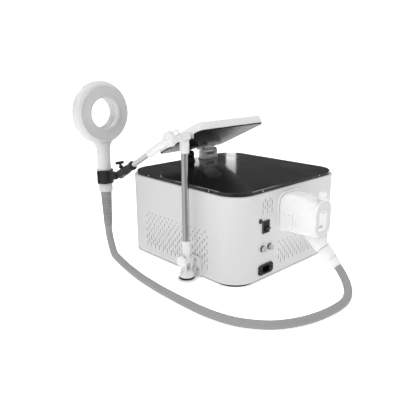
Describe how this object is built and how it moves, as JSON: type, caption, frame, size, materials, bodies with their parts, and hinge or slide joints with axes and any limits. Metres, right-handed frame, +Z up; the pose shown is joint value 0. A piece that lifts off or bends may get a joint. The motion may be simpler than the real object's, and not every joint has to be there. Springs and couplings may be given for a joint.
{
  "type": "magnetic therapy unit",
  "caption": "Desktop magnetic-field physiotherapy unit: square machine with tilting screen, jointed support arm and ring applicator on a hose.",
  "frame": {"origin": "centre of the machine base, on the surface that it stands on, at the middle rubber foot", "axes": "+X is the operator's right (support arm side), +Y the rear with inlet and hose connector, +Z up"},
  "size_m": [0.5275, 0.595, 0.4265],
  "materials": {
    "black_steel": "black powder coat",
    "rubber": "matt",
    "white_casing": "satin white coat",
    "black_gloss": "polished black acrylic",
    "steel": "plain steel",
    "black_plastic": "fine moulded grain",
    "brass": "plain",
    "nickel": "satin nickel",
    "fuse_glass": "clear",
    "white_plastic": "semi-gloss",
    "dark_plastic": "matt",
    "grey_plastic": "matt light grey",
    "hose_grey": "smooth matt grey",
    "white_metal": "semi-gloss white coat",
    "polished_steel": "polished tube",
    "ring_grey": "soft matt grey",
    "relief_grey": "matt grey",
    "copper": "enamelled copper winding",
    "screen_glass": "dark display glass",
    "hinge_steel": "brushed",
    "board_green": "solder mask"
  },
  "bodies": {
    "root": {"base_tray": "black_steel", "rubber_feet": "rubber", "casing": "white_casing", "top_lid": "black_gloss", "lid_screws": "steel", "mains_inlet": "black_plastic", "inlet_contacts": "brass", "inlet_screws": "black_steel", "fuse_holders": "grey_plastic", "fuse_links": "fuse_glass", "switch_frame": "black_plastic", "button_bush": "black_plastic", "socket_plate": "white_plastic", "panel_socket": "dark_plastic", "plug_shell": "white_plastic", "plug_contacts": "brass", "plug_end_cap": "grey_plastic", "latch_pin": "steel", "cable_elbow": "white_plastic", "gland_nut": "white_plastic", "hose": "hose_grey", "arm_bracket": "white_metal", "bracket_screws": "steel", "post_washer": "rubber", "swivel_bolt": "steel", "hinge_base": "hinge_steel", "hinge_pin": "steel", "power_supply": "hinge_steel", "pulse_board": "board_green", "fan_frame": "black_plastic"},
    "screen": {"screen_back": "black_plastic", "screen_frame": "white_plastic", "screen_glass": "screen_glass", "display_panel": "dark_plastic", "hinge_leaf": "hinge_steel"},
    "rocker": {"switch_rocker": "black_plastic"},
    "reset_key": {"reset_button": "black_plastic"},
    "fuse_cap_l": {"fuse_cap_left": "nickel"},
    "fuse_cap_r": {"fuse_cap_right": "nickel"},
    "pull_bar": {"latch_lever": "white_plastic"},
    "release_key": {"release_button": "white_plastic"},
    "fan": {"fan_rotor": "dark_plastic"},
    "foot": {"post_foot": "white_metal"},
    "foot_knob": {"tilt_knob": "white_plastic"},
    "post": {"tilt_yoke": "white_metal", "post_tube": "polished_steel", "top_sleeve": "white_metal", "elbow_bolt": "steel"},
    "wing_nut": {"elbow_wing_nut": "white_plastic"},
    "arm": {"arm_hub": "white_metal", "arm_rod": "polished_steel", "clamp_body": "black_plastic"},
    "thumb_screw": {"clamp_screw": "black_plastic"},
    "clip": {"clip_band": "black_plastic"},
    "applicator": {"ring_shell_front": "white_plastic", "ring_shell_rear": "white_plastic", "ring_face": "ring_grey", "ring_coil": "copper", "neck_collar": "white_plastic", "strain_relief": "relief_grey"}
  },
  "joints": [
    {"name": "screen_tilt", "type": "hinge", "parent": "root", "child": "screen", "pos_m": [-0.026, -0.155, 0.228], "axis": [1, 0, 0], "range_deg": [-20, 35]},
    {"name": "power_rocker", "type": "hinge", "parent": "root", "child": "rocker", "pos_m": [0.101, 0.189, 0.1255], "axis": [1, 0, 0], "range_deg": [-28, 0]},
    {"name": "reset_press", "type": "slide", "parent": "root", "child": "reset_key", "axis": [0, -1, 0], "range_m": [0, 0.002], "stiffness_N_per_m": 400, "springref_m": -0.0005},
    {"name": "fuse_cap_left_turn", "type": "hinge", "parent": "root", "child": "fuse_cap_l", "pos_m": [0.086, 0.19, 0.076], "axis": [0, 1, 0], "range_deg": [0, 60]},
    {"name": "fuse_cap_right_turn", "type": "hinge", "parent": "root", "child": "fuse_cap_r", "pos_m": [0.11, 0.19, 0.076], "axis": [0, 1, 0], "range_deg": [0, 60]},
    {"name": "latch_pull", "type": "hinge", "parent": "root", "child": "pull_bar", "pos_m": [0.019, 0.2835, 0.129], "axis": [-1, 0, 0], "range_deg": [0, 75]},
    {"name": "release_press", "type": "slide", "parent": "root", "child": "release_key", "axis": [0, 0, -1], "range_m": [0, 0.003], "stiffness_N_per_m": 400, "springref_m": -0.0005},
    {"name": "fan_spin", "type": "hinge", "parent": "root", "child": "fan", "pos_m": [-0.172, 0, 0.072], "axis": [1, 0, 0], "continuous": true},
    {"name": "post_swivel", "type": "hinge", "parent": "root", "child": "foot", "pos_m": [0.223, 0.071, 0.01], "axis": [0, 0, 1], "range_deg": [-10, 40], "deforming": ["hose"]},
    {"name": "post_tilt", "type": "hinge", "parent": "foot", "child": "post", "pos_m": [0.223, 0.071, 0.047], "axis": [1, 0, 0], "range_deg": [-12, 0]},
    {"name": "foot_knob_turn", "type": "hinge", "parent": "foot", "child": "foot_knob", "pos_m": [0.223, 0.071, 0.047], "axis": [1, 0, 0], "range_deg": [-180, 180]},
    {"name": "arm_tilt", "type": "hinge", "parent": "post", "child": "arm", "pos_m": [0.263, 0.071, 0.319], "axis": [1, 0, 0], "range_deg": [-35, 3]},
    {"name": "wing_nut_turn", "type": "hinge", "parent": "post", "child": "wing_nut", "pos_m": [0.244, 0.071, 0.319], "axis": [1, 0, 0], "range_deg": [-90, 90]},
    {"name": "thumb_screw_turn", "type": "hinge", "parent": "arm", "child": "thumb_screw", "pos_m": [0.263, -0.09943, 0.22495], "axis": [0, -0.4802, 0.8771], "range_deg": [-180, 180]},
    {"name": "clip_tilt", "type": "hinge", "parent": "arm", "child": "clip", "pos_m": [0.263, -0.11873, 0.21439], "axis": [1, 0, 0], "range_deg": [-20, 15]},
    {"name": "applicator_turn", "type": "hinge", "parent": "clip", "child": "applicator", "pos_m": [0.263, -0.177, 0.2], "axis": [0, 0, 1], "range_deg": [-45, 45]}
  ]
}
